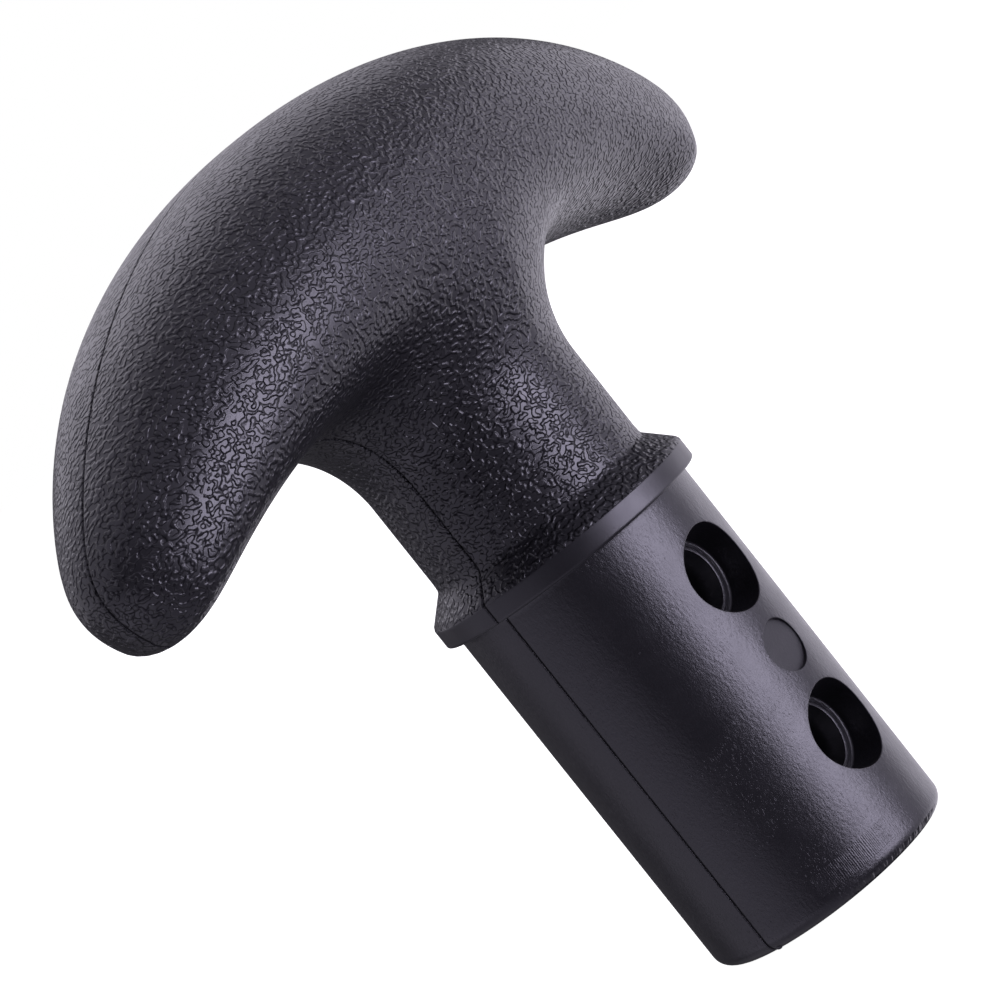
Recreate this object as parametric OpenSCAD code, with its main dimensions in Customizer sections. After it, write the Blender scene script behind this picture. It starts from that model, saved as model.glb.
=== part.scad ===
// T grip for a tube handle: a palm head on a short neck, a flange band that
// seats on the tube end, and a smooth plug that slides into the tube.
// The grip is two hollow shells, parted on the plane y = 0 and held together
// by moulded pegs in the head and by two screws across the plug.
// Z runs up the stem towards the head, X runs along the T, the screw wells
// open towards -Y, and z = 0 is the flange face that seats on the tube end.

/* [Plug] */
// Plug diameter, a sliding fit in the tube (mm)
plug_d = 29; // [28:0.5:32]
// Plug length below the flange face (mm)
plug_len = 43.7; // [42:0.1:60]
// Radius of the rounded plug end (mm)
plug_round = 1.6; // [0.8:0.2:2.4]
// Wall thickness of the shells (mm)
wall = 3; // [2.4:0.2:3.4]

/* [Flange] */
// Flange band diameter, level with the outside of the tube (mm)
flange_d = 32; // [31:0.5:36]
// Height of the flange band (mm)
band_h = 2.4; // [1.6:0.2:4]
// Height of the cone from the band up to the neck (mm)
cone_h = 2.8; // [2:0.2:5]

/* [Neck] */
// Neck diameter (mm)
neck_d = 26.3; // [25:0.1:28]
// Reach of the soft blend between neck and head (mm)
blend = 11.1; // [9:0.1:15]

/* [Head] */
// Radius of the arc that the head follows (mm)
arc_r = 95; // [86:0.5:105]
// Height of that arc's top above the flange face (mm)
arc_top = 39.7; // [38:0.1:46]
// Angle from the middle of the head to each tip (degrees)
tip_angle = 36; // [30:0.1:38]
// Height of the head above its arc, in the middle (mm)
top_mid = 14.4; // [12:0.1:16]
// Height of the head above its arc, at the tips (mm)
top_tip = 7.5; // [6.4:0.1:8]
// Depth of the head below its arc, in the middle (mm)
under_mid = 15; // [13:0.1:16]
// Depth of the head below its arc, at the tips (mm)
under_tip = 3.5; // [3.4:0.1:5]
// Half width of the head across the middle (mm)
side_mid = 19.5; // [17:0.1:22]
// Half width of the head at the tips (mm)
side_tip = 6.4; // [6:0.1:9]

/* [Wells] */
// Well mouth diameter (mm)
well_d = 10; // [9:0.2:10.4]
// Depth from the plug surface to the shelf in each well (mm)
well_depth = 4.3; // [3:0.1:4.8]
// Diameter of the deeper bore below the shelf (mm)
bore_d = 7.6; // [7.5:0.1:8]
// Distance from the flange face to the upper well (mm)
well_first = 9.8; // [9:0.1:11]
// Distance between the two wells (mm)
well_pitch = 20.2; // [18:0.1:22]
// Diameter of the ejector mark between the wells (mm)
mark_d = 5.9; // [4:0.1:6]

/* [Fasteners] */
// Screw length under the head (mm)
screw_len = 12; // [10:1:12]

/* [Hidden] */
$fn = 96;
eps = 0.01;
big = 200;

shell_colour = "#2b2b31";
steel_colour = "#8d9096";
brass_colour = "#b79a55";

plug_r = plug_d / 2;
flange_r = flange_d / 2;
neck_r = neck_d / 2;
neck_z = band_h + cone_h;
cone_top_r = neck_r + 0.15;
band_edge = 0.3;
arc_z = arc_top - arc_r;

// squareness of the head's section above its arc, and below it in the middle and
// at the tips; how squarely the tips end; how fast the underside falls away
top_power = 2.3;
under_power_mid = 2.8;
under_power_tip = 2;
tip_power = 28;
under_fall = 1.1;
blend_power = 1.8;
neck_fade_z = 24.4;
neck_fade = 0.03;

// the head's wall starts inside the stem's, which it overlaps a little
lap = 1;
head_wall = wall - 0.3;

// reach of the head skin and of the cavity, as angles along the arc
skin_reach = tip_angle;
cavity_reach = tip_angle - wall / arc_r * 180 / PI;

// columns per quarter turn, and points along each run of a column
skin_cols = 24;
skin_rows = [14, 25, 8, 10, 2];
cavity_cols = 12;
cavity_rows = [7, 8, 5, 7, 2];
col_power = 1.6;
ray_len = 40;
under_ray = 16;
fillet_reach = 7;
fan_overlap = 5;
fillet_z = 15;
steps = 24;

// shelf, seat and screw stack, measured along Y
shelf_y = plug_r - well_depth;
bore_r = bore_d / 2;
floor_r = well_d / 2 - 0.15;
floor_corner = 0.3;
bore_edge = 0.15;
seat_y = 4;
washer_t = 0.5;
washer_r = 3.45;
washer_hole_r = 1.6;
screw_r = 1.5;
screw_hole_r = 1.7;
screw_head_r = 2.75;
screw_head_h = 3;
socket_af = 2.5;
socket_depth = 1.5;
tip_chamfer = 0.4;
insert_from = 0.5;
insert_len = 6;
insert_r = 2.6;
insert_waist_r = 2.3;
insert_bore_r = 1.25;
insert_hole_r = 2.5;
pilot_r = 1.8;
pilot_to = 9.5;
front_boss_r = 6.6;
front_boss_y = sqrt(plug_r * plug_r - front_boss_r * front_boss_r) - 0.1;
rear_boss_r = 4.5;
mark_depth = 0.25;

rib_t = 1.8;
rib_gap = 0.5;
peg_r = 1.8;
peg_len = 5;
socket_r = 2.1;
peg_socket_depth = 6;
peg_boss_r = 4.2;
neck_peg_z = 13;
head_peg_x = 38;
head_rib_x = 24;

upper_z = -well_first;
lower_z = -well_first - well_pitch;
mark_z = -well_first - well_pitch / 2;
peg_places = [[0, neck_peg_z], [0, arc_top], [head_peg_x, arc_mid(head_peg_x)],
              [-head_peg_x, arc_mid(head_peg_x)]];

function arc_mid(x) = arc_z + sqrt(arc_r * arc_r - x * x);

// signed gap from a point to the head: negative inside, in mm along the section
function head_gap(x, y, z, reach) =
    let (
        phi = abs(atan2(x, z - arc_z)),
        e = norm([x, z - arc_z]) - arc_r,
        u = min(phi / reach, 0.9999),
        s = sqrt(1 - pow(u, tip_power)),
        up = top_mid + (top_tip - top_mid) * u * u,
        down = under_mid + (under_tip - under_mid) * pow(u, under_fall),
        a = s * (e > 0 ? up : down),
        b = s * (side_mid + (side_tip - side_mid) * u * u),
        under = under_power_mid + (under_power_tip - under_power_mid) * u,
        n = e > 0 ? top_power : under,
        q = pow(pow(abs(e) / a, n) + pow(abs(y) / b, n), 1 / n)
    )
    (q < 0.001 ? -min(a, b) : norm([e, y]) * (1 - 1 / q))
    + max(0, phi - reach) * PI / 180 * arc_r;

// signed gap to the neck, which tapers away inside the head
function neck_gap(x, y, z) =
    norm([x, y]) - neck_r + neck_fade * pow(max(0, z - neck_fade_z), 2);

// signed gap to head and neck blended together
function body_gap(x, y, z, reach) =
    let (
        h = head_gap(x, y, z, reach),
        n = neck_gap(x, y, z),
        k = max(blend - abs(h - n), 0) / blend
    )
    min(h, n) - pow(k, blend_power) * blend / (2 * blend_power);

// last point inside the body on the way from o to t, in the half plane at [c, s]
function hit(o, t, c, s, reach, level, lo = 0, hi = 1, i = 0) =
    i == steps ? o + lo * (t - o)
    : let (m = (lo + hi) / 2, p = o + m * (t - o))
      body_gap(p[0] * c, p[0] * s, p[1], reach) < level
      ? hit(o, t, c, s, reach, level, m, hi, i + 1)
      : hit(o, t, c, s, reach, level, lo, m, i + 1);

// how far the head reaches from the stem axis in the half plane at [c, s]
function edge_r(c, s, reach, lo = 5, hi = 75, i = 0) =
    i == steps ? lo
    : let (m = (lo + hi) / 2)
      head_gap(m * c, m * s, arc_mid(m * c), reach) < 0
      ? edge_r(c, s, reach, m, hi, i + 1)
      : edge_r(c, s, reach, lo, m, i + 1);

// rays [from, to] that sweep the outline of one half plane: over the top,
// round the edge, back along the underside, through the blend, down the neck
function rays(c, s, reach, rows) =
    let (
        rt = edge_r(c, s, reach) * 0.8,
        zt = arc_mid(rt * c),
        rf = neck_r + fillet_reach,
        ro = max(rt, rf + fan_overlap),
        ri = min(rt, rf),
        zi = arc_mid(ri * c),
        d0 = atan2(ray_len, 0.25 * rt),
        d1 = atan2(-under_ray, ro - rt)
    )
    concat(
        [for (i = [1:rows[0] - 1])
            let (r = rt * i / rows[0], z = arc_mid(r * c))
            [[r, z], [1.25 * r, z + ray_len]]],
        [for (i = [0:rows[1]])
            let (d = d0 + (d1 - d0) * i / rows[1])
            [[rt, zt], [rt, zt] + ray_len * [cos(d), sin(d)]]],
        [for (i = [1:rows[2]])
            let (f = i / rows[2], r = rt + (ri - rt) * f, z = arc_mid(r * c))
            [[r, z], [ro + (rf - ro) * f, z - under_ray]]],
        [for (i = [1:rows[3]])
            let (f = i / rows[3])
            [[ri * (1 - f), zi + (fillet_z - zi) * f],
             [rf, zi - under_ray + (fillet_z - zi + under_ray) * f]]],
        [for (i = [1:rows[4]])
            let (z = fillet_z + (neck_z - lap - fillet_z) * i / rows[4])
            [[0, z], [rf, z]]]
    );

// one column of skin points in the half plane at azimuth th
function column(th, reach, level, rows) =
    let (c = cos(th), s = sin(th))
    [for (ray = rays(c, s, reach, rows))
        let (p = hit(ray[0], ray[1], c, s, reach, level))
        [p[0] * c, p[0] * s, p[1]]];

// closed skin of head and neck: one quarter worked out, the rest mirrored
module body_skin(reach, level, cols, rows) {
    quarter = [for (j = [0:cols]) column(90 * pow(j / cols, col_power), reach, level, rows)];
    count = len(quarter[0]);
    around = 4 * cols;
    apex = [0, 0, hit([0, arc_top], [0, arc_top + ray_len], 1, 0, reach, level)[1]];
    points = concat([apex], [
        for (j = [0:around - 1], i = [0:count - 1])
            let (
                q = floor(j / cols),
                k = j - q * cols,
                p = quarter[q % 2 == 0 ? k : cols - k][i]
            )
            [(q == 1 || q == 2) ? -p[0] : p[0], q > 1 ? -p[1] : p[1], p[2]]
    ]);
    faces = concat(
        [for (j = [0:around - 1])
            [0, 1 + ((j + 1) % around) * count, 1 + j * count]],
        [for (j = [0:around - 1], i = [0:count - 2], k = [0, 1])
            let (
                a = 1 + j * count + i,
                b = 1 + ((j + 1) % around) * count + i
            )
            k == 0 ? [a, b, b + 1] : [a, b + 1, a + 1]],
        [[for (j = [0:around - 1]) (j + 1) * count]]
    );
    polyhedron(points = points, faces = faces, convexity = 8);
}

// everything on one side of the parting plane: -1 is the front, 1 the rear
module half(side) {
    intersection() {
        children();
        translate([-big / 2, side > 0 ? 0 : -big, -big / 2]) cube(big);
    }
}

// round bar along Y, from y0 to y1, at height z
module bar(r, y0, y1, z, x = 0) {
    translate([x, y1, z]) rotate([90, 0, 0]) cylinder(h = y1 - y0, r = r);
}

// moulded ribs and peg bosses of the head and neck
module head_ribs(side) {
    for (x = [-head_rib_x, 0, head_rib_x])
        translate([x - rib_t / 2, side > 0 ? rib_gap : -big / 2 - rib_gap, neck_z + 2])
            cube([rib_t, big / 2, big / 2]);
    for (p = peg_places)
        bar(peg_boss_r, side > 0 ? 0 : -big / 4, side > 0 ? big / 4 : 0, p[1], p[0]);
}

// head and neck of one shell, hollow, with its ribs
module head_half(side) {
    resize([0, 0, 0])
        difference() {
            half(side) body_skin(skin_reach, 0, skin_cols, skin_rows);
            difference() {
                body_skin(cavity_reach, -head_wall, cavity_cols, cavity_rows);
                head_ribs(side);
            }
            if (side > 0)
                for (p = peg_places)
                    bar(socket_r, -1, peg_socket_depth, p[1], p[0]);
        }
}

// flange, band and plug as one outline, turned through half a circle
module stem_half(side) {
    rotate([0, 0, side > 0 ? 0 : 180])
        rotate_extrude(angle = 180)
            difference() {
                union() {
                    polygon([
                        [0, 0], [plug_r, 0], [flange_r - band_edge, 0],
                        [flange_r, band_edge], [flange_r, band_h],
                        [cone_top_r, neck_z], [0, neck_z]
                    ]);
                    translate([0, -plug_len]) square([plug_r - plug_round, plug_len + eps]);
                    translate([0, plug_round - plug_len])
                        square([plug_r, plug_len - plug_round + eps]);
                    translate([plug_r - plug_round, plug_round - plug_len])
                        intersection() {
                            circle(r = plug_round);
                            translate([0, -plug_round]) square(plug_round);
                        }
                }
                polygon([
                    [-1, wall - plug_len], [plug_r - wall, wall - plug_len],
                    [plug_r - wall, -2], [neck_r - wall, 2],
                    [neck_r - wall, neck_z + 1], [-1, neck_z + 1]
                ]);
            }
}

// web along the middle of the plug that ties the bosses together
module stem_web(side) {
    reach = plug_r - wall / 2;
    translate([-rib_t / 2, side > 0 ? rib_gap : -reach, wall / 2 - plug_len])
        cube([rib_t, reach - rib_gap, plug_len - wall / 2 - 1]);
}

// screw well: a drafted mouth with a shelf, a deeper bore, a seat and the screw's hole
module well(z) {
    translate([0, 0, z])
        rotate([-90, 0, 0])
            rotate_extrude()
                polygon([
                    [0, -plug_r - 1], [well_d / 2, -plug_r - 1], [well_d / 2, -plug_r],
                    [floor_r, -shelf_y - floor_corner], [floor_r - floor_corner, -shelf_y],
                    [bore_r + bore_edge, -shelf_y], [bore_r, bore_edge - shelf_y],
                    [bore_r, -seat_y], [screw_hole_r, -seat_y], [screw_hole_r, 1], [0, 1]
                ]);
}

module front_shell() {
    color(shell_colour) {
        difference() {
            union() {
                stem_half(-1);
                stem_web(-1);
                for (z = [upper_z, lower_z])
                    bar(front_boss_r, -front_boss_y, 0, z);
            }
            well(upper_z);
            well(lower_z);
            bar(mark_d / 2, -plug_r - 1, -plug_r + mark_depth, mark_z);
        }
        head_half(-1);
        for (p = peg_places)
            bar(peg_r, -1, peg_len, p[1], p[0]);
    }
}

module rear_shell() {
    color(shell_colour) {
        difference() {
            union() {
                stem_half(1);
                stem_web(1);
                for (z = [upper_z, lower_z])
                    bar(rear_boss_r, 0, plug_r - wall / 2, z);
            }
            for (z = [upper_z, lower_z]) {
                bar(insert_hole_r, -1, insert_from + insert_len, z);
                bar(pilot_r, 0, pilot_to, z);
            }
        }
        head_half(1);
    }
}

// socket-head cap screw: its head faces the well mouth
module screw(z) {
    top = -seat_y - washer_t - screw_head_h;
    color(steel_colour)
        translate([0, top, z])
            rotate([-90, 0, 0])
                difference() {
                    union() {
                        translate([0, 0, 0.3]) cylinder(h = screw_head_h - 0.3, r = screw_head_r);
                        cylinder(h = 0.3, r1 = screw_head_r - 0.3, r2 = screw_head_r);
                        cylinder(h = screw_head_h + screw_len - tip_chamfer, r = screw_r);
                        translate([0, 0, screw_head_h + screw_len - tip_chamfer])
                            cylinder(h = tip_chamfer, r1 = screw_r, r2 = screw_r - tip_chamfer);
                    }
                    translate([0, 0, -1])
                        cylinder(h = socket_depth + 1, r = socket_af / sqrt(3), $fn = 6);
                }
}

module washer(z) {
    color(steel_colour)
        difference() {
            bar(washer_r, -seat_y - washer_t, -seat_y, z);
            bar(washer_hole_r, -seat_y - 1, -seat_y + 1, z);
        }
}

// brass insert with two gripping bands and a waist between them
module insert(z) {
    band = insert_len / 3;
    color(brass_colour)
        difference() {
            union() {
                bar(insert_r, insert_from, insert_from + band, z);
                bar(insert_waist_r, insert_from, insert_from + insert_len, z);
                bar(insert_r, insert_from + 2 * band, insert_from + insert_len, z);
            }
            bar(insert_bore_r, 0, insert_from + insert_len + 1, z);
        }
}

module upper_screw() {
    screw(upper_z);
}

module lower_screw() {
    screw(lower_z);
}

module upper_washer() {
    washer(upper_z);
}

module lower_washer() {
    washer(lower_z);
}

module upper_insert() {
    insert(upper_z);
}

module lower_insert() {
    insert(lower_z);
}

front_shell();
rear_shell();
upper_screw();
lower_screw();
upper_washer();
lower_washer();
upper_insert();
lower_insert();
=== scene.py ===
"""T grip for a tube handle: two moulded charcoal shells, screws, washers and inserts.

The CAD frame gives the places and sizes. The shells are built again here with a
fine skin, a parting groove and broken edges, and the fasteners get their threads
and knurls. Lengths are in millimetres until a mesh is made, and metres after that.
"""

import math

import bmesh
import bpy
import numpy as np
from mathutils import Matrix, Vector


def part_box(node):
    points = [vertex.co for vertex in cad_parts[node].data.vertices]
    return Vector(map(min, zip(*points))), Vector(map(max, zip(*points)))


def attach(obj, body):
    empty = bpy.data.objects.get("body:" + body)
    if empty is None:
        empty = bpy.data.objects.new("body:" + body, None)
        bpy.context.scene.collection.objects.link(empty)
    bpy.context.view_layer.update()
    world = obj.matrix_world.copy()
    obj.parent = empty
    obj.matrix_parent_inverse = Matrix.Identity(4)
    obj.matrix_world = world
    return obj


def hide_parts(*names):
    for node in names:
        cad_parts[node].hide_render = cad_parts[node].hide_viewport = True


MM = 0.001

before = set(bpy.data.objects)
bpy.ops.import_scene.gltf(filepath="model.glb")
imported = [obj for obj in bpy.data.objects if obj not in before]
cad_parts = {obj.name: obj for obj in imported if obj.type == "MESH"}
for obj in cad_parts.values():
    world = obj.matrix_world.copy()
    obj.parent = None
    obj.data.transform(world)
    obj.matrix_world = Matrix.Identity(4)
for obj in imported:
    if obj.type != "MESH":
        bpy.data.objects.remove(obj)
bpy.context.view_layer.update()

# ---------------------------------------------------------------- sizes, mm

# read from the frame
plug_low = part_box("front_shell")[0].z / MM
wells = [
    (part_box(node)[0].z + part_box(node)[1].z) / 2 / MM for node in ("upper_screw", "lower_screw")
]
mark_z = sum(wells) / 2

# stem
PLUG_R = 14.5
PLUG_ROUND = 1.6
FLANGE_R = 16.0
BAND_H = 2.4
BAND_EDGE = 0.3
CONE_TOP_R = 13.3
NECK_R = 13.15
NECK_Z = 5.2
WALL = 3.0

# head
ARC_R = 95.0
ARC_TOP = 39.7
ARC_Z = ARC_TOP - ARC_R
TIP_ANGLE = 36.0
TIP_POWER = 28
TOP_MID, TOP_TIP, TOP_POWER = 14.4, 7.5, 2.3
UNDER_MID, UNDER_TIP, UNDER_FALL = 15.0, 3.5, 1.1
UNDER_POWER_MID, UNDER_POWER_TIP = 2.8, 2.0
SIDE_MID, SIDE_TIP = 19.5, 6.4
BLEND, BLEND_POWER = 11.1, 1.8
NECK_FADE_Z, NECK_FADE = 24.4, 0.03
HEAD_WALL = 2.7
CAVITY_REACH = TIP_ANGLE - math.degrees(WALL / ARC_R)

# the shown skin lies a hair inside the frame's, on the head and on the stem
SKIN_LEVEL = -0.035
STEM_INSET = 0.02

# wells, bosses and pegs, measured along Y
WELL_R = 5.0
WELL_FLOOR_R = 4.85
FLOOR_CORNER = 0.3
SHELF_Y = 10.2
BORE_R = 3.8
BORE_EDGE = 0.12
SEAT_Y = 4.0
SCREW_HOLE_R = 1.7
MARK_R = 2.95
MARK_Y = 14.0
WELL_EDGE, MARK_EDGE = 0.12, 0.07
FRONT_BOSS_R, FRONT_BOSS_Y = 6.6, 12.8
REAR_BOSS_R, REAR_BOSS_Y = 4.5, 13.0
INSERT_HOLE_R, INSERT_HOLE_Y = 2.5, 6.5
PILOT_R, PILOT_Y = 1.8, 9.5
RIB_T = 1.8
RIB_GAP = 0.5
HEAD_RIB_X = 24.0
PEG_BOSS_R = 4.2
PEG_R, PEG_LEN, PEG_CHAMFER = 1.8, 5.0, 0.4
SOCKET_R, SOCKET_DEPTH = 2.1, 6.0
BIG = 90.0

# fasteners, measured along Y
SCREW_HEAD_Y, SCREW_TIP_Y = -7.5, 7.5
SCREW_HEAD_R, SCREW_HEAD_LEN = 2.75, 3.0
SHANK_R = 1.5
THREAD_PITCH, THREAD_DEPTH = 0.5, 0.27
SOCKET_HEX_R, SOCKET_HEX_DEPTH = 1.443, 1.5
WASHER_R, WASHER_T = 3.45, 0.5
WASHER_HOLE_R = 1.6
INSERT_R, INSERT_WAIST_R, INSERT_END_R = 2.6, 2.3, 2.35
INSERT_START, INSERT_STOP, INSERT_BAND = 0.5, 6.5, 2.0
INSERT_BORE_R, INSERT_BORE_MOUTH_R = 1.25, 1.55

# parting groove: distance from the plane y = 0, and depth there
GROOVE = ((0.22, 0.0), (0.13, 0.04), (0.06, 0.15), (0.0, 0.19))

# folds sharper than this many degrees stay sharp
SHARP_ANGLE = 32

# ------------------------------------------------------- head and neck skin


def arc_mid(x):
    """Height of the head's arc at x."""
    return ARC_Z + np.sqrt(ARC_R**2 - x * x)


# the pegs' places [x, z]: in the neck, and three along the head's arc
NECK_PEG_Z = 13.0
ARM_PEG_X = 38.0
ARM_PEG_Z = float(arc_mid(ARM_PEG_X))
PEGS = [(0.0, NECK_PEG_Z), (0.0, ARC_TOP), (ARM_PEG_X, ARM_PEG_Z), (-ARM_PEG_X, ARM_PEG_Z)]


def head_gap(x, y, z, reach):
    """Signed gap to the head, a superellipse section swept along the arc."""
    phi = np.abs(np.degrees(np.arctan2(x, z - ARC_Z)))
    e = np.hypot(x, z - ARC_Z) - ARC_R
    u = np.clip(phi / reach, 1e-9, 0.9999)
    s = np.sqrt(1 - u**TIP_POWER)
    up = TOP_MID + (TOP_TIP - TOP_MID) * u * u
    down = UNDER_MID + (UNDER_TIP - UNDER_MID) * u**UNDER_FALL
    a = s * np.where(e > 0, up, down)
    b = s * (SIDE_MID + (SIDE_TIP - SIDE_MID) * u * u)
    under = UNDER_POWER_MID + (UNDER_POWER_TIP - UNDER_POWER_MID) * u
    n = np.where(e > 0, TOP_POWER, under)
    q = ((np.abs(e) / a) ** n + (np.abs(y) / b) ** n) ** (1 / n)
    inside = -np.minimum(a, b)
    along = np.hypot(e, y) * (1 - 1 / np.maximum(q, 1e-6))
    past_tip = np.maximum(0, phi - reach) * math.pi / 180 * ARC_R
    return np.where(q < 0.001, inside, along) + past_tip


def neck_gap(x, y, z):
    """Signed gap to the neck, which tapers away inside the head."""
    return np.hypot(x, y) - NECK_R + NECK_FADE * np.maximum(0, z - NECK_FADE_Z) ** 2


def body_gap(x, y, z, reach=TIP_ANGLE):
    """Signed gap to head and neck, blended together."""
    h = head_gap(x, y, z, reach)
    n = neck_gap(x, y, z)
    k = np.maximum(BLEND - np.abs(h - n), 0) / BLEND
    return np.minimum(h, n) - k**BLEND_POWER * BLEND / (2 * BLEND_POWER)


def edge_radius(c, s, reach):
    """How far the head reaches from the stem axis in the half plane at [c, s]."""
    low, high = 5.0, 75.0
    for _ in range(24):
        m = (low + high) / 2
        if head_gap(m * c, m * s, arc_mid(m * c), reach) < 0:
            low = m
        else:
            high = m
    return low


def outline_rays(c, s, reach, rows):
    """Rays [from, to] that sweep one half plane: top, edge, underside, blend, neck."""
    ray_len, under, fillet_z = 40.0, 16.0, 15.0
    top, fan, below, fillet, neck = rows
    rt = edge_radius(c, s, reach) * 0.8
    rf = NECK_R + 7
    ro = max(rt, rf + 5)
    ri = min(rt, rf)
    zt, zi = arc_mid(rt * c), arc_mid(ri * c)
    start = math.atan2(ray_len, 0.25 * rt)
    stop = math.atan2(-under, ro - rt)
    rays = []
    for i in range(1, top):
        r = rt * i / top
        z = arc_mid(r * c)
        rays.append((r, z, 1.25 * r, z + ray_len))
    for i in range(fan + 1):
        d = start + (stop - start) * i / fan
        rays.append((rt, zt, rt + ray_len * math.cos(d), zt + ray_len * math.sin(d)))
    for i in range(1, below + 1):
        f = i / below
        r = rt + (ri - rt) * f
        z = arc_mid(r * c)
        rays.append((r, z, ro + (rf - ro) * f, z - under))
    for i in range(1, fillet + 1):
        f = i / fillet
        low = zi - under + (fillet_z - zi + under) * f
        rays.append((ri * (1 - f), zi + (fillet_z - zi) * f, rf, low))
    for i in range(1, neck + 1):
        z = fillet_z + (NECK_Z + 1 - fillet_z) * i / neck
        rays.append((0.0, z, rf, z))
    return np.array(rays)


def skin_column(azimuth, reach, level, rows):
    """Points where the rays of one half plane leave the body, top to neck."""
    c, s = math.cos(azimuth), math.sin(azimuth)
    rays = outline_rays(c, s, reach, rows)
    start, step = rays[:, :2], rays[:, 2:] - rays[:, :2]
    low, high = np.zeros(len(rays)), np.ones(len(rays))
    for _ in range(30):
        m = (low + high) / 2
        p = start + m[:, None] * step
        inside = body_gap(p[:, 0] * c, p[:, 0] * s, p[:, 1], reach) < level
        low, high = np.where(inside, m, low), np.where(inside, high, m)
    p = start + low[:, None] * step
    return np.column_stack([p[:, 0] * c, p[:, 0] * s, p[:, 1]])


def apex_height(reach, level):
    """Height of the head's skin on the stem axis."""
    low, high = ARC_TOP, ARC_TOP + 40
    for _ in range(40):
        m = (low + high) / 2
        if body_gap(0.0, 0.0, m, reach) < level:
            low = m
        else:
            high = m
    return low


def arc_points(centre, radius, start, stop, count):
    """Points on an arc in the [r, z] half plane, from start to stop degrees."""
    turn = np.radians(np.linspace(start, stop, count))
    return [(centre[0] + radius * math.cos(t), centre[1] + radius * math.sin(t)) for t in turn]


def stem_outline():
    """Outline [r, z] of cone, band, flange face and plug, down to the plug's end."""
    fillet = 0.9
    cone = math.atan2(NECK_Z - BAND_H, FLANGE_R - CONE_TOP_R)
    foot = fillet * math.tan(cone / 2)
    corner = (NECK_R + fillet, NECK_Z + foot)
    points = arc_points(corner, fillet, 180, 270 - math.degrees(cone), 7)
    last = points[-1]
    points += [
        (last[0] + (FLANGE_R - last[0]) * f, last[1] + (BAND_H - last[1]) * f)
        for f in (0.2, 0.4, 0.6, 0.8, 0.93)
    ]
    rim = 0.2
    points += arc_points((FLANGE_R - rim - STEM_INSET, BAND_H - rim), rim, 50, 0, 4)
    points += [(FLANGE_R - STEM_INSET, z) for z in (2.0, 1.4, 0.8, BAND_EDGE + 0.1)]
    edge = (FLANGE_R - BAND_EDGE, BAND_EDGE)
    points += arc_points(edge, BAND_EDGE - STEM_INSET, 0, -90, 5)
    points += [(r, STEM_INSET) for r in (15.4, 14.95)]
    root = 0.25
    centre = (PLUG_R - STEM_INSET + root, STEM_INSET - root)
    points += arc_points(centre, root, 90, 180, 4)
    high, low, rows = -0.6, plug_low + PLUG_ROUND, 42
    points += [(PLUG_R - STEM_INSET, high + (low - high) * i / rows) for i in range(rows)]
    centre = (PLUG_R - PLUG_ROUND - STEM_INSET, low + STEM_INSET)
    points += arc_points(centre, PLUG_ROUND, 0, -90, 10)
    points += [(r, plug_low + STEM_INSET) for r in (12.4, 11.0, 8.0, 4.0)]
    return points


def cavity_outline():
    """Outline [r, z] of the hollow in neck and plug."""
    r, neck = PLUG_R - WALL, NECK_R - WALL
    floor, corner = plug_low + WALL, 0.6
    return [(neck, 4.0), (neck, 2.0), (r, -2.0), (r, floor + corner), (r - corner, floor),
            (r / 2, floor)]


# -------------------------------------------------------------- mesh makers


def add_object(name, data):
    """Object for a mesh, a light or a camera, linked into the scene."""
    obj = bpy.data.objects.new(name, data)
    bpy.context.scene.collection.objects.link(obj)
    return obj


def new_object(name, points, faces):
    """Closed mesh object from points in millimetres."""
    mesh = bpy.data.meshes.new(name)
    mesh.from_pydata([tuple(p) for p in np.asarray(points, float) * MM], [], faces)
    bm = bmesh.new()
    bm.from_mesh(mesh)
    bmesh.ops.recalc_face_normals(bm, faces=bm.faces)
    bm.to_mesh(mesh)
    bm.free()
    return add_object(name, mesh)


def half_turn(count):
    """Azimuths over half a turn, closest together at the tips of the head."""
    crowding = 1.6
    quarter = [math.pi / 2 * (j / count) ** crowding for j in range(count + 1)]
    return quarter + [math.pi - a for a in reversed(quarter[:-1])]


def half_columns(level, reach, count, rows, outline):
    """Columns of points over the half turn y >= 0: skin first, then the outline."""
    columns = []
    for azimuth in half_turn(count):
        column = skin_column(min(azimuth, math.pi - azimuth), reach, level, rows)
        if azimuth > math.pi / 2:
            column = column * [-1, 1, 1]
        c, s = math.cos(azimuth), math.sin(azimuth)
        stem = np.array([(r * c, r * s, z) for r, z in outline])
        columns.append(np.vstack([column, stem]))
    columns = np.array(columns)
    columns[0, :, 1] = 0
    columns[-1, :, 1] = 0
    return columns


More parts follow.
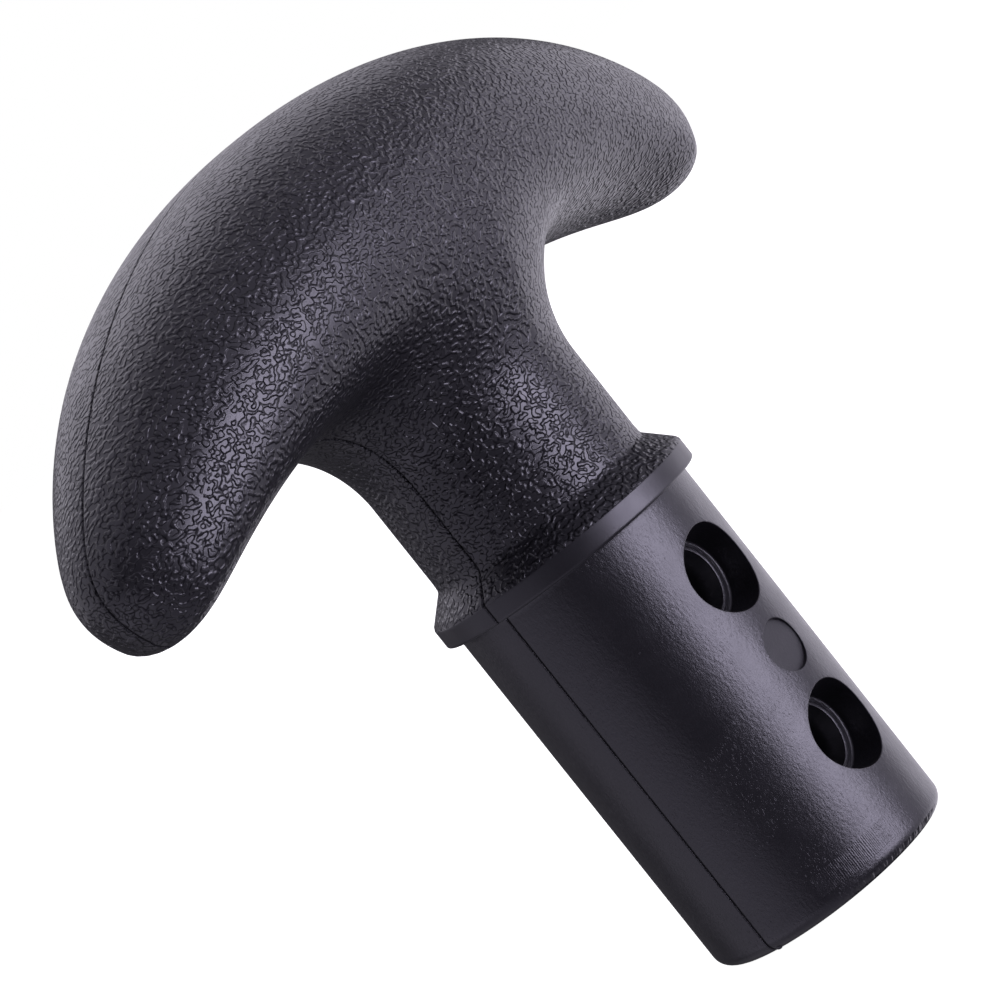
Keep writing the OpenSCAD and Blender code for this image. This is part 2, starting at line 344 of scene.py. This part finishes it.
def shell_solid(name, side):
    """One half of the outside as a closed solid, with the parting groove."""
    rows = (60, 60, 36, 40, 12)
    columns = half_columns(SKIN_LEVEL, TIP_ANGLE, 60, rows, stem_outline())
    columns[:, :, 1] *= side
    top = (0.0, 0.0, apex_height(TIP_ANGLE, SKIN_LEVEL))
    bottom = (0.0, 0.0, plug_low + STEM_INSET)
    count, length = columns.shape[:2]
    points = [top, bottom] + [tuple(p) for p in columns.reshape(-1, 3)]
    faces = []
    for j in range(count - 1):
        a, b = 2 + j * length, 2 + (j + 1) * length
        faces.append((0, a, b))
        faces.append((1, b + length - 1, a + length - 1))
        faces += [(a + i, a + i + 1, b + i + 1, b + i) for i in range(length - 1)]
    bm = bmesh.new()
    verts = [bm.verts.new(Vector(p) * MM) for p in points]
    for face in faces:
        bm.faces.new([verts[i] for i in face])
    for distance, _ in GROOVE[:-1]:
        bmesh.ops.bisect_plane(
            bm,
            geom=bm.verts[:] + bm.edges[:] + bm.faces[:],
            plane_co=(0, side * distance * MM, 0),
            plane_no=(0, 1, 0),
            dist=1e-7,
        )
    bmesh.ops.recalc_face_normals(bm, faces=bm.faces)
    bm.normal_update()
    volume = sum(f.calc_area() * f.normal.dot(f.calc_center_median()) for f in bm.faces)
    outward = 1 if volume > 0 else -1
    spans = [distance for distance, _ in reversed(GROOVE)]
    depths = [depth for _, depth in reversed(GROOVE)]
    for vert in bm.verts:
        depth = float(np.interp(abs(vert.co.y) / MM, spans, depths))
        if depth > 0:
            normal = Vector((vert.normal.x, 0, vert.normal.z)).normalized()
            vert.co -= normal * outward * depth * MM
    rim = [e for e in bm.edges if e.is_boundary]
    bmesh.ops.contextual_create(bm, geom=rim)
    bmesh.ops.recalc_face_normals(bm, faces=bm.faces)
    mesh = bpy.data.meshes.new(name)
    bm.to_mesh(mesh)
    bm.free()
    return add_object(name, mesh)


def cavity_solid():
    """The hollow of head, neck and plug as one closed solid."""
    rows = (14, 16, 10, 14, 4)
    half = half_columns(-HEAD_WALL, CAVITY_REACH, 20, rows, cavity_outline())
    other = half[1:-1][::-1] * [1, -1, 1]
    columns = np.concatenate([half, other])
    count, length = columns.shape[:2]
    top = (0.0, 0.0, apex_height(CAVITY_REACH, -HEAD_WALL))
    bottom = (0.0, 0.0, plug_low + WALL)
    points = [top, bottom] + [tuple(p) for p in columns.reshape(-1, 3)]
    faces = []
    for j in range(count):
        a, b = 2 + j * length, 2 + (j + 1) % count * length
        faces.append((0, a, b))
        faces.append((1, b + length - 1, a + length - 1))
        faces += [(a + i, a + i + 1, b + i + 1, b + i) for i in range(length - 1)]
    return new_object("cavity", points, faces)


def block(x0, x1, y0, y1, z0, z1):
    """Box between two corners."""
    points = [(x, y, z) for x in (x0, x1) for y in (y0, y1) for z in (z0, z1)]
    faces = [(0, 1, 3, 2), (4, 6, 7, 5), (0, 4, 5, 1), (2, 3, 7, 6), (0, 2, 6, 4), (1, 5, 7, 3)]
    return new_object("block", points, faces)


def turned(rings, at=(0.0, 0.0), segments=96, name="turned"):
    """Closed solid of rings round a line along Y at [x, z].

    A ring is (radius, y). The radius may be a function of the angle, and y may be
    a function of x, measured from the line.
    """
    points, faces = [], []
    for radius, y in rings:
        for i in range(segments):
            t = 2 * math.pi * i / segments
            r = radius(t) if callable(radius) else radius
            x = r * math.cos(t)
            points.append((at[0] + x, y(x) if callable(y) else y, at[1] + r * math.sin(t)))
    for k in range(len(rings) - 1):
        for i in range(segments):
            j = (i + 1) % segments
            a, b = k * segments, (k + 1) * segments
            faces.append((a + i, a + j, b + j, b + i))
    faces.append(tuple(range(segments)))
    last = (len(rings) - 1) * segments
    faces.append(tuple(range(last, last + segments)))
    return new_object(name, points, faces)


def bar(r, y0, y1, z, x=0.0):
    """Round bar along Y at x and z."""
    return turned([(r, y0), (r, y1)], (x, z), 64)


def wave(turns):
    """Triangle wave between 0 and 1."""
    return abs(2 * (turns - math.floor(turns + 0.5)))


def combine(target, operation, tools):
    """Unites tools with target, or takes them away from it, and removes them."""
    for tool in tools:
        modifier = target.modifiers.new("combine", "BOOLEAN")
        modifier.operation = operation
        modifier.solver = "MANIFOLD"
        modifier.object = tool
        view = bpy.context.evaluated_depsgraph_get()
        mesh = bpy.data.meshes.new_from_object(target.evaluated_get(view))
        target.modifiers.clear()
        old = target.data
        target.data = mesh
        bpy.data.meshes.remove(old)
        bpy.data.objects.remove(tool)
    return target


# ------------------------------------------------------------------- shells


def surface_y(depth):
    """Y at a depth below the plug's front, as a function of x."""
    return lambda x: -math.sqrt((PLUG_R - STEM_INSET) ** 2 - x * x) + depth


def mouth_rings(radius, lip):
    """Rings of a round opening in the plug's front, with its edge rounded by lip."""
    rings = [(radius + lip, -PLUG_R - 2)]
    for turn in range(0, 91, 18):
        t = math.radians(turn)
        rings.append((radius + lip * (1 - math.sin(t)), surface_y(lip * (1 - math.cos(t)))))
    return rings


def well_cutter(z):
    """Screw well: drafted mouth, shelf with a fine step, bore, seat and screw hole."""
    rings = mouth_rings(WELL_R, WELL_EDGE)
    for turn in (0, 22, 45, 68, 90):
        t = math.radians(turn)
        rings.append((
            WELL_FLOOR_R - FLOOR_CORNER * (1 - math.cos(t)),
            -SHELF_Y - FLOOR_CORNER * (1 - math.sin(t)),
        ))
    rings += [
        (BORE_R + 0.42, -SHELF_Y),
        (BORE_R + 0.38, -SHELF_Y + 0.05),
        (BORE_R + BORE_EDGE, -SHELF_Y + 0.05),
        (BORE_R + 0.04, -SHELF_Y + 0.09),
        (BORE_R, -SHELF_Y + 0.18),
        (BORE_R, -SEAT_Y),
        (SCREW_HOLE_R, -SEAT_Y),
        (SCREW_HOLE_R, 1.0),
    ]
    return turned(rings, (0.0, z))


def mark_cutter():
    """Shallow round ejector mark between the wells."""
    return turned(mouth_rings(MARK_R, MARK_EDGE) + [(MARK_R, -MARK_Y)], (0.0, mark_z))


def sector(profile, start, stop, steps):
    """Closed solid swept round the stem; profile(azimuth) gives its outline [r, z].

    Azimuths are in degrees from the front, -Y, towards +X.
    """
    points, faces = [], []
    for i in range(steps + 1):
        azimuth = start + (stop - start) * i / steps
        t = math.radians(azimuth)
        outline = profile(azimuth)
        points += [(r * math.sin(t), -r * math.cos(t), z) for r, z in outline]
    count = len(outline)
    for i in range(steps):
        for k in range(count):
            a, b = i * count + k, i * count + (k + 1) % count
            faces.append((a, b, b + count, a + count))
    faces.append(tuple(range(count)))
    faces.append(tuple(range(steps * count, (steps + 1) * count)))
    return new_object("sector", points, faces)


def lined_patch_cutter():
    """Shallow recess near the plug's end, with fine ridges along the stem."""
    low, high, pitch = -41.6, -39.2, 0.9
    start, stop = -60.0, -12.0
    depth, ridge = 0.04, 0.02

    def profile(azimuth):
        ends = min(1.0, (azimuth - start) / 3, (stop - azimuth) / 10)
        sway = 0.25 * math.sin(azimuth * 0.9)
        floor = PLUG_R - STEM_INSET - ends * (depth + ridge * wave(azimuth / pitch + sway))
        return [(floor, low), (floor, high), (PLUG_R + 1, high), (PLUG_R + 1, low)]

    return sector(profile, start + 0.1, stop - 0.1, 320)


def ragged_rim_cutter():
    """Torn edge of the moulding on the front of the plug's rounded end."""
    start, stop = -52.0, 16.0
    low = 0.12

    def profile(azimuth):
        ends = min(1.0, (azimuth - start) / 6, (stop - azimuth) / 6)
        torn = math.sin(azimuth * 1.7) * math.sin(azimuth * 0.61 + 1)
        torn += 0.5 * math.sin(azimuth * 3.9)
        depth = 0.02 + ends * (0.20 + 0.07 * torn)
        top = 0.95 + 0.06 * torn
        outline = []
        for k in range(7):
            up = low + (top - low) * k / 6
            fall = PLUG_ROUND - math.sqrt(PLUG_ROUND**2 - (PLUG_ROUND - up) ** 2)
            outline.append((PLUG_R - STEM_INSET - fall - depth, plug_low + up))
        return outline + [(PLUG_R + 1, plug_low + top), (PLUG_R + 1, plug_low + low)]

    return sector(profile, start + 0.1, stop - 0.1, 160)


def nub():
    """Stub of flash where the parting line meets the plug's end."""
    rings = [(0.12, -0.95), (0.26, -0.85), (0.34, -0.6), (0.30, -0.35), (0.16, -0.2)]
    return turned(rings, (0.75 - PLUG_R, plug_low + 0.42), 24)


def hollow(side):
    """The cavity of one shell, cut back by its web, ribs and bosses."""
    cavity = cavity_solid()
    near, far = (RIB_GAP, BIG) if side > 0 else (-BIG, -RIB_GAP)
    ribs = [
        block(x - RIB_T / 2, x + RIB_T / 2, near, far, NECK_Z + 2, BIG)
        for x in (-HEAD_RIB_X, 0.0, HEAD_RIB_X)
    ]
    ribs.append(block(-RIB_T / 2, RIB_T / 2, near, far, plug_low, -1.0))
    face = (0.0, BIG / 2) if side > 0 else (-BIG / 2, 0.0)
    ribs += [bar(PEG_BOSS_R, *face, z, x) for x, z in PEGS]
    boss = (REAR_BOSS_R, 0.0, REAR_BOSS_Y) if side > 0 else (FRONT_BOSS_R, -FRONT_BOSS_Y, 0.0)
    ribs += [bar(*boss, z) for z in wells]
    return combine(cavity, "DIFFERENCE", ribs)


def front_shell():
    """Front moulding with wells, mark, pegs and the marks of its mould."""
    shell = shell_solid("front_moulding", -1)
    combine(shell, "DIFFERENCE", [hollow(-1)])
    combine(shell, "DIFFERENCE", [well_cutter(z) for z in wells] + [mark_cutter()])
    combine(shell, "DIFFERENCE", [lined_patch_cutter(), ragged_rim_cutter()])
    pegs = [(PEG_R, -1.0), (PEG_R, PEG_LEN - PEG_CHAMFER), (PEG_R - PEG_CHAMFER, PEG_LEN)]
    added = [nub()] + [turned(pegs, place, 48) for place in PEGS]
    return combine(shell, "UNION", added)


def rear_shell():
    """Rear moulding with the pegs' sockets and the holes for the inserts."""
    shell = shell_solid("rear_moulding", 1)
    combine(shell, "DIFFERENCE", [hollow(1)])
    cutters = [bar(SOCKET_R, -1.0, SOCKET_DEPTH, z, x) for x, z in PEGS]
    for z in wells:
        rings = [(INSERT_HOLE_R, -1.0), (INSERT_HOLE_R, INSERT_HOLE_Y), (PILOT_R, INSERT_HOLE_Y),
                 (PILOT_R, PILOT_Y)]
        cutters.append(turned(rings, (0.0, z), 64))
    return combine(shell, "DIFFERENCE", cutters)


# ---------------------------------------------------------------- fasteners


def knurl(radius, ridges, depth):
    """Radius with ridges round it, as a function of the angle."""
    return lambda t: radius - depth * wave(t / (2 * math.pi) * ridges)


def screw(name, z):
    """Socket cap screw: knurled head, hex socket, threaded shank."""
    under = SCREW_HEAD_Y + SCREW_HEAD_LEN
    rim = knurl(SCREW_HEAD_R, 36, 0.09)
    rings = [
        (SCREW_HEAD_R - 0.3, SCREW_HEAD_Y),
        (SCREW_HEAD_R - 0.12, SCREW_HEAD_Y + 0.08),
        (rim, SCREW_HEAD_Y + 0.3),
        (rim, under - 0.2),
        (SCREW_HEAD_R - 0.15, under),
        (SHANK_R, under),
    ]
    tip_chamfer, rows_per_pitch = 0.4, 10
    length = SCREW_TIP_Y - tip_chamfer - under
    steps = int(length / THREAD_PITCH * rows_per_pitch)

    def thread(y):
        fade = min(1.0, max(0.0, (y - under - 2.0) / 0.8))
        depth = THREAD_DEPTH * fade
        return lambda t: SHANK_R - depth * wave(y / THREAD_PITCH - t / (2 * math.pi))

    for i in range(1, steps + 1):
        y = under + length * i / steps
        rings.append((thread(y), y))
    rings.append((SHANK_R - tip_chamfer, SCREW_TIP_Y))
    mouth = 1.66
    hexagon = [
        (mouth, SCREW_HEAD_Y - 1),
        (mouth, SCREW_HEAD_Y),
        (SOCKET_HEX_R, SCREW_HEAD_Y + 0.2),
        (SOCKET_HEX_R, SCREW_HEAD_Y + SOCKET_HEX_DEPTH),
        (0.2, SCREW_HEAD_Y + 2.0),
    ]
    obj = turned(rings, (0.0, z), 72, name)
    return combine(obj, "DIFFERENCE", [turned(hexagon, (0.0, z), 6)])


def washer(name, z):
    """Stamped washer, rounded on the punched side."""
    low, high = -SEAT_Y - WASHER_T, -SEAT_Y
    rings = [
        (WASHER_R - 0.15, low),
        (WASHER_R - 0.04, low + 0.05),
        (WASHER_R, low + 0.16),
        (WASHER_R, high - 0.03),
        (WASHER_R - 0.03, high),
    ]
    mouth = WASHER_HOLE_R + 0.08
    hole = [(mouth, low - 1), (mouth, low), (WASHER_HOLE_R, low + 0.1), (WASHER_HOLE_R, high + 1)]
    return combine(turned(rings, (0.0, z), 96, name), "DIFFERENCE", [turned(hole, (0.0, z), 72)])


def insert(name, z):
    """Brass insert with two knurled bands, a waist and a plain bore."""
    low, high = INSERT_START, INSERT_STOP
    band = knurl(INSERT_R, 28, 0.16)
    rings = [
        (INSERT_END_R, low),
        (band, low + 0.2),
        (band, low + INSERT_BAND - 0.15),
        (INSERT_WAIST_R, low + INSERT_BAND),
        (INSERT_WAIST_R, high - INSERT_BAND),
        (band, high - INSERT_BAND + 0.15),
        (band, high - 0.2),
        (INSERT_END_R, high),
    ]
    bore = [
        (INSERT_BORE_MOUTH_R, low - 1),
        (INSERT_BORE_MOUTH_R, low),
        (INSERT_BORE_R, low + 0.3),
        (INSERT_BORE_R, high - 0.3),
        (INSERT_BORE_MOUTH_R, high),
        (INSERT_BORE_MOUTH_R, high + 1),
    ]
    return combine(turned(rings, (0.0, z), 112, name), "DIFFERENCE", [turned(bore, (0.0, z), 64)])


# ---------------------------------------------------------------- materials


class Nodes:
    """Short ways to build a procedural material."""

    def __init__(self, name):
        self.material = bpy.data.materials.new(name)
        self.material.use_nodes = True
        self.tree = self.material.node_tree
        self.shader = self.tree.nodes["Principled BSDF"]
        place = self.tree.nodes.new("ShaderNodeTexCoord").outputs["Object"]
        scale = self.tree.nodes.new("ShaderNodeVectorMath")
        scale.operation = "SCALE"
        scale.inputs["Scale"].default_value = 1 / MM
        self.link(place, scale.inputs[0])
        self.place = scale.outputs["Vector"]

    def link(self, source, socket):
        """Joins an output to an input."""
        self.tree.links.new(source, socket)

    def put(self, value, socket):
        """Gives an input a number, or links it to an output."""
        if isinstance(value, bpy.types.NodeSocket):
            self.link(value, socket)
        else:
            socket.default_value = value

    def maths(self, operation, a, b=0.0):
        """Result of an operation on sockets or numbers."""
        node = self.tree.nodes.new("ShaderNodeMath")
        node.operation = operation
        self.put(a, node.inputs[0])
        self.put(b, node.inputs[1])
        return node.outputs[0]

    def stretch(self, scale):
        """Object place in millimetres, scaled per axis."""
        node = self.tree.nodes.new("ShaderNodeMapping")
        node.inputs["Scale"].default_value = scale
        self.link(self.place, node.inputs["Vector"])
        return node.outputs["Vector"]

    def noise(self, per_mm, detail, rough, place=None):
        """Cloudy noise between 0 and 1, per_mm features to the millimetre."""
        node = self.tree.nodes.new("ShaderNodeTexNoise")
        self.link(place or self.place, node.inputs["Vector"])
        node.inputs["Scale"].default_value = per_mm
        node.inputs["Detail"].default_value = detail
        node.inputs["Roughness"].default_value = rough
        return node.outputs["Fac"]

    def ripple(self, per_mm, waves):
        """Even ripples that run in no one direction, about 1 / (per_mm * waves) mm apart."""
        node = self.tree.nodes.new("ShaderNodeTexGabor")
        node.gabor_type = "3D"
        self.link(self.place, node.inputs["Vector"])
        node.inputs["Scale"].default_value = per_mm
        node.inputs["Frequency"].default_value = waves
        node.inputs["Anisotropy"].default_value = 0.0
        return node.outputs["Value"]

    def ramp(self, value, low, high, to_low=0.0, to_high=1.0, smooth=False):
        """Maps low to high onto to_low to to_high, clamped."""
        node = self.tree.nodes.new("ShaderNodeMapRange")
        node.interpolation_type = "SMOOTHSTEP" if smooth else "LINEAR"
        for key, number in (("From Min", low), ("From Max", high),
                            ("To Min", to_low), ("To Max", to_high)):
            node.inputs[key].default_value = number
        self.link(value, node.inputs["Value"])
        return node.outputs["Result"]

    def blend_colour(self, factor, a, b):
        """Colour that goes from a to b with factor."""
        node = self.tree.nodes.new("ShaderNodeMix")
        node.data_type = "RGBA"
        self.link(factor, node.inputs["Factor"])
        node.inputs["A"].default_value = (*a, 1)
        node.inputs["B"].default_value = (*b, 1)
        return node.outputs["Result"]

    def bump(self, height, depth_mm, below=None):
        """Bump of depth_mm for a height that runs from 0 to 1."""
        node = self.tree.nodes.new("ShaderNodeBump")
        node.inputs["Distance"].default_value = depth_mm * MM
        self.link(height, node.inputs["Height"])
        if below is not None:
            self.link(below, node.inputs["Normal"])
        return node.outputs["Normal"]


def charcoal(nodes, roughness_low, roughness_high):
    """Colour and gloss that all the moulded plastic shares."""
    tone = nodes.noise(0.12, 4.0, 0.6)
    colour = nodes.blend_colour(tone, (0.0064, 0.0060, 0.0081), (0.0102, 0.0096, 0.0128))
    nodes.link(colour, nodes.shader.inputs["Base Color"])
    cloud = nodes.noise(0.35, 5.0, 0.6)
    nodes.shader.inputs["IOR"].default_value = 1.56
    nodes.shader.inputs["Specular Tint"].default_value = (0.88, 0.86, 1.0, 1)
    return nodes.ramp(cloud, 0.3, 0.7, roughness_low, roughness_high)


def grained_plastic():
    """Leather grain: meandering plateaus with steep sides, with painted shade at their feet."""
    nodes = Nodes("grained charcoal plastic")
    gloss = charcoal(nodes, 0.31, 0.39)
    plateau = nodes.ramp(nodes.ripple(1.35, 0.85), 0.42, 0.64, smooth=True)
    fine = nodes.noise(9.0, 2.0, 0.6)
    nodes.link(gloss, nodes.shader.inputs["Roughness"])
    # painted shade: the specular level drops to 0.10 at the feet of the plateaus' sides, in place
    # of the shade in the grain's valleys
    foot = nodes.maths("ABSOLUTE", nodes.maths("SUBTRACT", plateau, 0.25))
    nodes.link(nodes.ramp(foot, 0.03, 0.25, 0.10, 0.53), nodes.shader.inputs["Specular IOR Level"])
    skin = nodes.bump(fine, 0.006)
    nodes.link(nodes.bump(plateau, 0.14, skin), nodes.shader.inputs["Normal"])
    return nodes.material


def satin_plastic():
    """Plain moulded plastic of the band, the parting faces and the hollow inside."""
    nodes = Nodes("satin charcoal plastic")
    gloss = charcoal(nodes, 0.36, 0.44)
    fine = nodes.noise(5.0, 4.0, 0.65)
    nodes.link(gloss, nodes.shader.inputs["Roughness"])
    nodes.link(nodes.bump(fine, 0.008), nodes.shader.inputs["Normal"])
    return nodes.material


def plug_plastic():
    """Smoother plug: a faintly pebbled skin with patches of fine scuffs along it."""
    nodes = Nodes("smooth charcoal plastic")
    gloss = charcoal(nodes, 0.29, 0.36)
    pebble = nodes.noise(2.6, 3.0, 0.65, place=nodes.stretch((1.1, 1.1, 0.7)))
    fine = nodes.noise(7.0, 3.0, 0.65)
    scuffs = nodes.noise(1.0, 3.0, 0.6, place=nodes.stretch((8.0, 8.0, 2.0)))
    scuffs = nodes.ramp(scuffs, 0.62, 0.68, smooth=True)
    where = nodes.ramp(nodes.noise(0.13, 3.0, 0.6), 0.46, 0.60, smooth=True)
    scuffs = nodes.maths("MULTIPLY", scuffs, where)
    nodes.link(gloss, nodes.shader.inputs["Roughness"])
    skin = nodes.bump(scuffs, 0.012, nodes.bump(fine, 0.012))
    nodes.link(nodes.bump(pebble, 0.042, skin), nodes.shader.inputs["Normal"])
    return nodes.material


def bare_metal(name, dark, light, roughness, drag):
    """Turned metal: ring marks round the Y axis, and a little tarnish."""
    nodes = Nodes(name)
    tarnish = nodes.noise(0.9, 4.0, 0.6)
    nodes.link(nodes.blend_colour(tarnish, dark, light), nodes.shader.inputs["Base Color"])
    nodes.shader.inputs["Metallic"].default_value = 1.0
    marks = nodes.noise(1.0, 2.0, 0.5, place=nodes.stretch((1.0, drag, 1.0)))
    nodes.link(nodes.ramp(marks, 0.2, 0.8, roughness - 0.08, roughness + 0.08),
               nodes.shader.inputs["Roughness"])
    nodes.link(nodes.bump(marks, 0.004), nodes.shader.inputs["Normal"])
    return nodes.material


def dress(obj, materials, pick=None):
    """Gives obj its materials; pick(centre in mm) says which one a face takes."""
    mesh = obj.data
    mesh.materials.clear()
    for material in materials:
        mesh.materials.append(material)
    for polygon in mesh.polygons:
        polygon.use_smooth = True
        polygon.material_index = pick(polygon.center / MM) if pick else 0
    mesh.set_sharp_from_angle(angle=math.radians(SHARP_ANGLE))
    even = obj.modifiers.new("even normals", "WEIGHTED_NORMAL")
    even.keep_sharp = True


def region(centre):
    """0 for the grained outside, 1 for the satin band and hollow, 2 for the plug."""
    x, y, z = centre
    r = math.hypot(x, y)
    off_parting = abs(y) > 1e-3
    on_skin = z > NECK_Z + 0.6 and abs(float(body_gap(x, y, z))) < 0.35
    on_cone = BAND_H - 0.12 < z < NECK_Z + 1.2 and r > CONE_TOP_R - 0.5
    if off_parting and (on_skin or on_cone):
        return 0
    if z < 0.01 and r > 8:
        return 2
    return 1


# ------------------------------------------------------------------- pieces

grain, satin, smooth = grained_plastic(), satin_plastic(), plug_plastic()
steel = bare_metal("dull stainless steel", (0.22, 0.22, 0.23), (0.36, 0.36, 0.37), 0.38, 6.0)
brass = bare_metal("turned brass", (0.42, 0.30, 0.12), (0.62, 0.47, 0.21), 0.32, 5.0)


def place_piece(obj, node):
    """Puts the piece under the root body, in place of the frame's node, which it hides."""
    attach(obj, "root")
    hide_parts(node)


for node, piece in (("front_shell", front_shell()), ("rear_shell", rear_shell())):
    dress(piece, [grain, satin, smooth], region)
    place_piece(piece, node)

for which, z in zip(("upper", "lower"), wells):
    for kind, make, slot, metal in (
        ("screw", screw, "steel", steel),
        ("washer", washer, "steel", steel),
        ("insert", insert, "brass", brass),
    ):
        piece = make(f"{which}_{kind}_detail", z)
        dress(piece, [metal])
        place_piece(piece, f"{which}_{kind}")

# ------------------------------------------------------------------- camera

CAMERA_AZIMUTH, CAMERA_ELEVATION, CAMERA_ROLL = -50.37, 4.69, -38.49
CAMERA_AIM = Vector((-0.95, 2.28, 8.61))
CAMERA_DISTANCE = 452.16
CAMERA_FOV = 12.921


def camera_axes():
    """Right, up and back directions of the camera."""
    a, e, r = (math.radians(v) for v in (CAMERA_AZIMUTH, CAMERA_ELEVATION, CAMERA_ROLL))
    back = Vector((math.sin(a) * math.cos(e), -math.cos(a) * math.cos(e), math.sin(e)))
    level = Vector((math.cos(a), math.sin(a), 0))
    above = back.cross(level)
    right = math.cos(r) * level + math.sin(r) * above
    up = -math.sin(r) * level + math.cos(r) * above
    return right, up, back


RIGHT, UP, BACK = camera_axes()


def aim(obj, place, right, up, back):
    """Puts a camera or a light at a place, looking away from back."""
    obj.matrix_world = Matrix.Translation(place) @ Matrix((right, up, back)).transposed().to_4x4()


def add_camera():
    """Camera that sees the whole grip, plug towards the lower right."""
    data = bpy.data.cameras.new("camera")
    data.sensor_width = 36
    data.lens = data.sensor_width / 2 / math.tan(math.radians(CAMERA_FOV / 2))
    data.clip_start, data.clip_end = 0.01, 50
    obj = add_object("camera", data)
    aim(obj, (CAMERA_AIM + CAMERA_DISTANCE * BACK) * MM, RIGHT, UP, BACK)
    bpy.context.scene.camera = obj


# ------------------------------------------------------------------- studio

STUDIO_TINT = (0.93, 0.89, 1.0)


def softbox(name, longitude, latitude, wide, high, radiance, distance=1.2):
    """Soft panel seen from the grip at an angle right of and above the camera."""
    a, b = math.radians(longitude), math.radians(latitude)
    out = math.cos(b) * (math.sin(a) * RIGHT + math.cos(a) * BACK) + math.sin(b) * UP
    data = bpy.data.lights.new(name, "AREA")
    data.shape = "RECTANGLE"
    data.size = 2 * distance * math.tan(math.radians(wide / 2))
    data.size_y = 2 * distance * math.tan(math.radians(high / 2))
    data.energy = radiance * math.pi * data.size * data.size_y
    data.color = STUDIO_TINT
    obj = add_object(name, data)
    side = UP.cross(out).normalized()
    aim(obj, out * distance, side, out.cross(side), out)
    obj.visible_camera = False


def add_world():
    """White backdrop for the camera, a dim tinted room for everything else."""
    world = bpy.data.worlds.new("room")
    world.use_nodes = True
    tree = world.node_tree
    room = tree.nodes["Background"]
    room.inputs["Color"].default_value = (*STUDIO_TINT, 1)
    room.inputs["Strength"].default_value = 0.09
    white = tree.nodes.new("ShaderNodeBackground")
    white.inputs["Color"].default_value = (1, 1, 1, 1)
    path = tree.nodes.new("ShaderNodeLightPath")
    mix = tree.nodes.new("ShaderNodeMixShader")
    tree.links.new(path.outputs["Is Camera Ray"], mix.inputs["Fac"])
    tree.links.new(room.outputs[0], mix.inputs[1])
    tree.links.new(white.outputs[0], mix.inputs[2])
    tree.links.new(mix.outputs[0], tree.nodes["World Output"].inputs["Surface"])
    bpy.context.scene.world = world


def add_floor():
    """Plain pale floor that the grip stands on."""
    radius, segments = 6.0, 96
    turns = [2 * math.pi * i / segments for i in range(segments)]
    ring = [(radius * math.cos(t), radius * math.sin(t), plug_low * MM) for t in turns]
    mesh = bpy.data.meshes.new("floor")
    mesh.from_pydata(ring, [], [tuple(range(segments))])
    floor = add_object("floor", mesh)
    material = bpy.data.materials.new("pale floor")
    material.use_nodes = True
    shader = material.node_tree.nodes["Principled BSDF"]
    shader.inputs["Base Color"].default_value = (0.8, 0.8, 0.8, 1)
    shader.inputs["Roughness"].default_value = 0.9
    shader.inputs["Specular IOR Level"].default_value = 0.0
    shader.inputs["Emission Color"].default_value = (1, 1, 1, 1)
    shader.inputs["Emission Strength"].default_value = 0.97
    mesh.materials.append(material)
    floor.visible_diffuse = False
    floor.visible_glossy = False
    floor.visible_shadow = False


add_camera()
add_world()
add_floor()
softbox("key", 54, 25, 38, 38, 7.4)
softbox("right wall", 108, 20, 66, 62, 0.65)
softbox("right back", 148, 15, 44, 66, 1.3)
softbox("left wall", -105, 8, 90, 80, 0.58)
softbox("left back", -152, 30, 40, 50, 1.0)
softbox("upper front", -5, 42, 90, 34, 0.28)
softbox("top", 0, 82, 70, 70, 0.35)
softbox("lower left", -62, -52, 80, 46, 0.5)
softbox("bottom", 60, -78, 90, 80, 0.3)

bpy.context.scene.view_settings.view_transform = "Standard"
